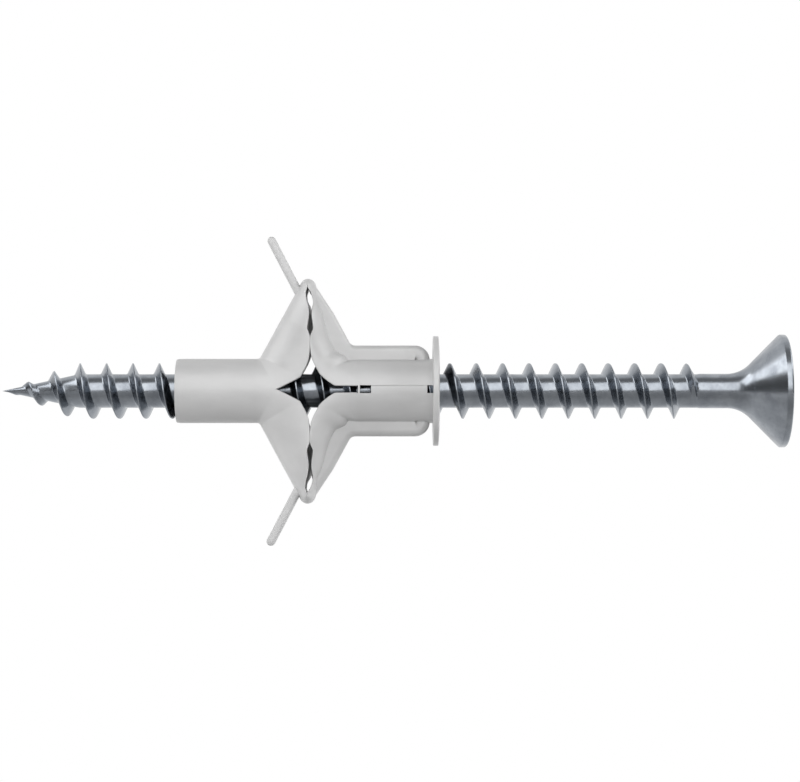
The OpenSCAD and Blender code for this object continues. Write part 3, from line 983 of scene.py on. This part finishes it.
@dataclass(frozen=True)
class ZincPlatedSteel:
    """Rolled steel with bright zinc: a blue-grey metal, drawn along the thread's turns, duller in patches."""

    colour: str = "#9a9fa5"
    dull_colour: str = "#868b92"
    patch_mm: float = 1.8
    patch_detail: float = 5.0
    streak_mm: float = 0.12
    streak_stretch: float = 0.05
    streak_detail: float = 3.0
    streak_depth_mm: float = 0.004
    streak_relief: float = 0.35
    streak_gloss: float = 0.08
    noise_roughness: float = 0.6
    colour_span: Span = (0.35, 0.65)
    gloss_span: Span = (0.3, 0.7)
    roughness: Span = (0.24, 0.14)

    def material(self) -> Material:
        """Makes the material."""
        made, tree = new_material("zinc_plated_steel")
        places = add_node(tree, "ShaderNodeTexCoord").outputs
        patch = noise(tree, places["Object"], per_metre(self.patch_mm), self.patch_detail,
                      self.noise_roughness)
        drawn = scaled(tree, places["UV"], (self.streak_stretch, 1.0, 1.0))
        streak = noise(tree, drawn, 1.0 / self.streak_mm, self.streak_detail, self.noise_roughness)
        spread = ranged(tree, patch, self.colour_span)
        dull = ranged(tree, patch, self.gloss_span, self.roughness)
        bump = add_node(tree, "ShaderNodeBump", {
            "Strength": self.streak_relief, "Distance": self.streak_depth_mm * MM, "Height": streak})
        shader = add_node(tree, "ShaderNodeBsdfPrincipled", {
            "Base Color": blended(tree, spread, linear(self.dull_colour), linear(self.colour)),
            "Roughness": calculated(tree, "MULTIPLY_ADD", streak, self.streak_gloss, dull),
            "Metallic": 1.0, "Normal": bump.outputs["Normal"]})
        add_node(tree, "ShaderNodeOutputMaterial", {"Surface": shader.outputs["BSDF"]})
        return made


def hung(data: bpy.types.ID, azimuth: float, elevation: float, distance: float, aim: Vector) -> Object:
    """Adds a lamp or camera that looks at its aim, from degrees of azimuth (-Y towards +X) and elevation."""
    a, e = math.radians(azimuth), math.radians(elevation)
    away = Vector((math.sin(a) * math.cos(e), -math.cos(a) * math.cos(e), math.sin(e)))
    made = bpy.data.objects.new(data.name, data)
    made.location = aim * MM + away * distance * MM
    made.rotation_mode = "QUATERNION"
    made.rotation_quaternion = away.to_track_quat("Z", "Y")
    bpy.context.scene.collection.objects.link(made)
    return made


@dataclass(frozen=True)
class Lamp:
    """A rectangular soft light, given by the direction that it comes from."""

    name: str
    reach: Reach
    azimuth: float
    elevation: float
    distance_mm: float
    width_mm: float
    height_mm: float
    watts: float

    def light(self) -> None:
        """Hangs the lamp and aims it at the origin."""
        data = bpy.data.lights.new(self.name, "AREA")
        data.shape, data.energy = "RECTANGLE", self.watts
        data.size, data.size_y = self.width_mm * MM, self.height_mm * MM
        lamp = hung(data, self.azimuth, self.elevation, self.distance_mm, Vector())
        lamp.visible_diffuse, lamp.visible_glossy = self.reach is Reach.MATT, self.reach is Reach.SHINE


@dataclass
class Studio:
    """White studio: a pale floor far below the part, a bright surround, and soft lamps about the camera."""

    floor_z: float = -62.0
    floor_r: float = 1500.0
    first_ring: float = 20.0
    floor_rings: int = 24
    floor_columns: int = 97
    floor_colour: str = "#d8d8d8"
    fade_from: float = 35.0
    fade_to: float = 90.0
    near_share: float = 0.55
    dim_from: float = 60.0
    ambient_front: float = 0.52
    ambient_back: float = 0.02
    behind_camera: float = 0.3
    behind_span: Span = (-0.1, 0.35)
    beside: float = 0.35
    beside_span: Span = (-0.95, -0.6)
    lamps: tuple[Lamp, ...] = (
        Lamp("front_softbox", Reach.MATT, 0.0, 8.0, 620.0, 500.0, 400.0, 1.1),
        Lamp("left_softbox", Reach.MATT, -72.0, 12.0, 620.0, 340.0, 340.0, 1.8),
        Lamp("right_softbox", Reach.MATT, 72.0, 12.0, 620.0, 340.0, 340.0, 1.7),
        Lamp("front_card", Reach.SHINE, 0.0, 28.0, 620.0, 640.0, 620.0, 2.3),
        Lamp("left_card", Reach.SHINE, -75.0, 40.0, 620.0, 520.0, 340.0, 1.35),
        Lamp("right_card", Reach.SHINE, 75.0, 40.0, 620.0, 520.0, 340.0, 1.25),
    )

    def floor_material(self) -> Material:
        """Makes the floor's material: white away from the part, and matt near it, where it keeps a shadow."""
        made, tree = new_material("pale_floor")
        seen, by_camera = seen_rays(tree)
        place = add_node(tree, "ShaderNodeTexCoord").outputs["Object"]
        level = scaled(tree, place, (1.0, 1.0, 0.0))
        away = add_node(tree, "ShaderNodeVectorMath", {0: level}, operation="LENGTH").outputs["Value"]
        fade = ranged(tree, away, (self.fade_from * MM, self.fade_to * MM), (self.near_share, 1.0))
        depth = add_node(tree, "ShaderNodeSeparateXYZ", {"Vector": place}).outputs["Y"]
        behind = ranged(tree, depth, (-self.dim_from * MM, self.fade_from * MM))
        share = calculated(tree, "MULTIPLY", calculated(tree, "MULTIPLY", seen, fade),
                           calculated(tree, "MAXIMUM", behind, by_camera))
        matte = add_node(tree, "ShaderNodeBsdfDiffuse", {"Color": linear(self.floor_colour)})
        white = add_node(tree, "ShaderNodeEmission", {"Color": linear(WHITE), "Strength": 1.0})
        blend = add_node(tree, "ShaderNodeMixShader", {
            0: share, 1: matte.outputs["BSDF"], 2: white.outputs["Emission"]})
        add_node(tree, "ShaderNodeOutputMaterial", {"Surface": blend.outputs["Shader"]})
        made.cycles.emission_sampling = "NONE"  # seen, but no lamp: less grain on the part
        return made

    def floor(self) -> Object:
        """Makes the floor from rings round the origin."""
        r = chain([0.0], np.geomspace(self.first_ring, self.floor_r, self.floor_rings))[:, None]
        a = np.linspace(0.0, FULL_TURN, self.floor_columns)
        skin = Skin()
        skin.grid(stacked(r * np.cos(a), r * np.sin(a), self.floor_z))
        made = skin.piece("studio_floor")
        made.data.materials.append(self.floor_material())
        return made

    def world(self) -> None:
        """Makes the surround: soft light on matt surfaces, mostly from the front, and white for the rest.

        The camera sees the white in full. Reflections see it dimmed behind the camera and beyond the point.
        """
        world = bpy.data.worlds.new("white_studio")
        world.use_nodes = True
        tree = world.node_tree
        tree.nodes.clear()
        seen, by_camera = seen_rays(tree)
        way = add_node(tree, "ShaderNodeTexCoord").outputs["Generated"]
        parts = add_node(tree, "ShaderNodeSeparateXYZ", {"Vector": way}).outputs
        behind = ranged(tree, parts["Y"], self.behind_span, (self.behind_camera, 1.0), smooth=True)
        beside = ranged(tree, parts["X"], self.beside_span, (self.beside, 1.0), smooth=True)
        dim = calculated(tree, "MAXIMUM", calculated(tree, "MULTIPLY", behind, beside), by_camera)
        level = ranged(tree, parts["Y"], (-1.0, 1.0), (self.ambient_front, self.ambient_back))
        even, bright = (add_node(tree, "ShaderNodeBackground", {"Color": linear(WHITE), "Strength": strength})
                        for strength in (level, dim))
        blend = add_node(tree, "ShaderNodeMixShader", {
            0: seen, 1: even.outputs["Background"], 2: bright.outputs["Background"]})
        add_node(tree, "ShaderNodeOutputWorld", {"Surface": blend.outputs["Shader"]})
        bpy.context.scene.world = world

    def build(self) -> Object:
        """Sets up floor, surround and lamps, and returns the floor."""
        self.world()
        for lamp in self.lamps:
            lamp.light()
        bpy.context.scene.cycles.use_light_tree = False  # few lamps, picked evenly: less grain on thin parts
        return self.floor()


@dataclass(frozen=True)
class SideCamera:
    """Camera beside the part, a little below its axis."""

    aim_x: float = -4.2
    aim_z: float = 0.0
    distance: float = 300.0
    azimuth: float = 0.0
    elevation: float = -3.4
    lens: float = 105.7
    sensor: float = 36.0
    near_m: float = 0.01
    far_m: float = 20.0

    def build(self) -> Object:
        """Makes the camera and sets it as the scene's."""
        data = bpy.data.cameras.new("side_camera")
        data.lens, data.sensor_width = self.lens, self.sensor
        data.clip_start, data.clip_end = self.near_m, self.far_m
        aim = Vector((self.aim_x, 0.0, self.aim_z))
        camera = hung(data, self.azimuth, self.elevation, self.distance, aim)
        bpy.context.scene.camera = camera
        return camera


def dress(pieces: list[Object], material: Material, body: Body) -> None:
    """Gives pieces their finish and body, and hides the body's imported solid.

    Args:
        pieces: objects of one body.
        material: their finish.
        body: body that they ride on, which has the name of its solid.
    """
    for piece in pieces:
        piece.data.materials.append(material)
        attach(piece, body.value)
        LOG.info("%s: %d faces on %s", piece.name, len(piece.data.polygons), body.value)
    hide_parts(body.value)


def main() -> None:
    """Builds the camera, the studio, the plug and the screw."""
    logging.basicConfig(level=logging.INFO, format="%(name)s: %(message)s")
    bpy.context.scene.view_settings.view_transform = "Standard"
    SideCamera().build()
    Studio().build()
    dress(FoldedPlug().build(), MouldedNylon().material(), Body.PLUG)
    dress(WoodScrew().build(), ZincPlatedSteel().material(), Body.SCREW)


if __name__ == "__main__":
    main()
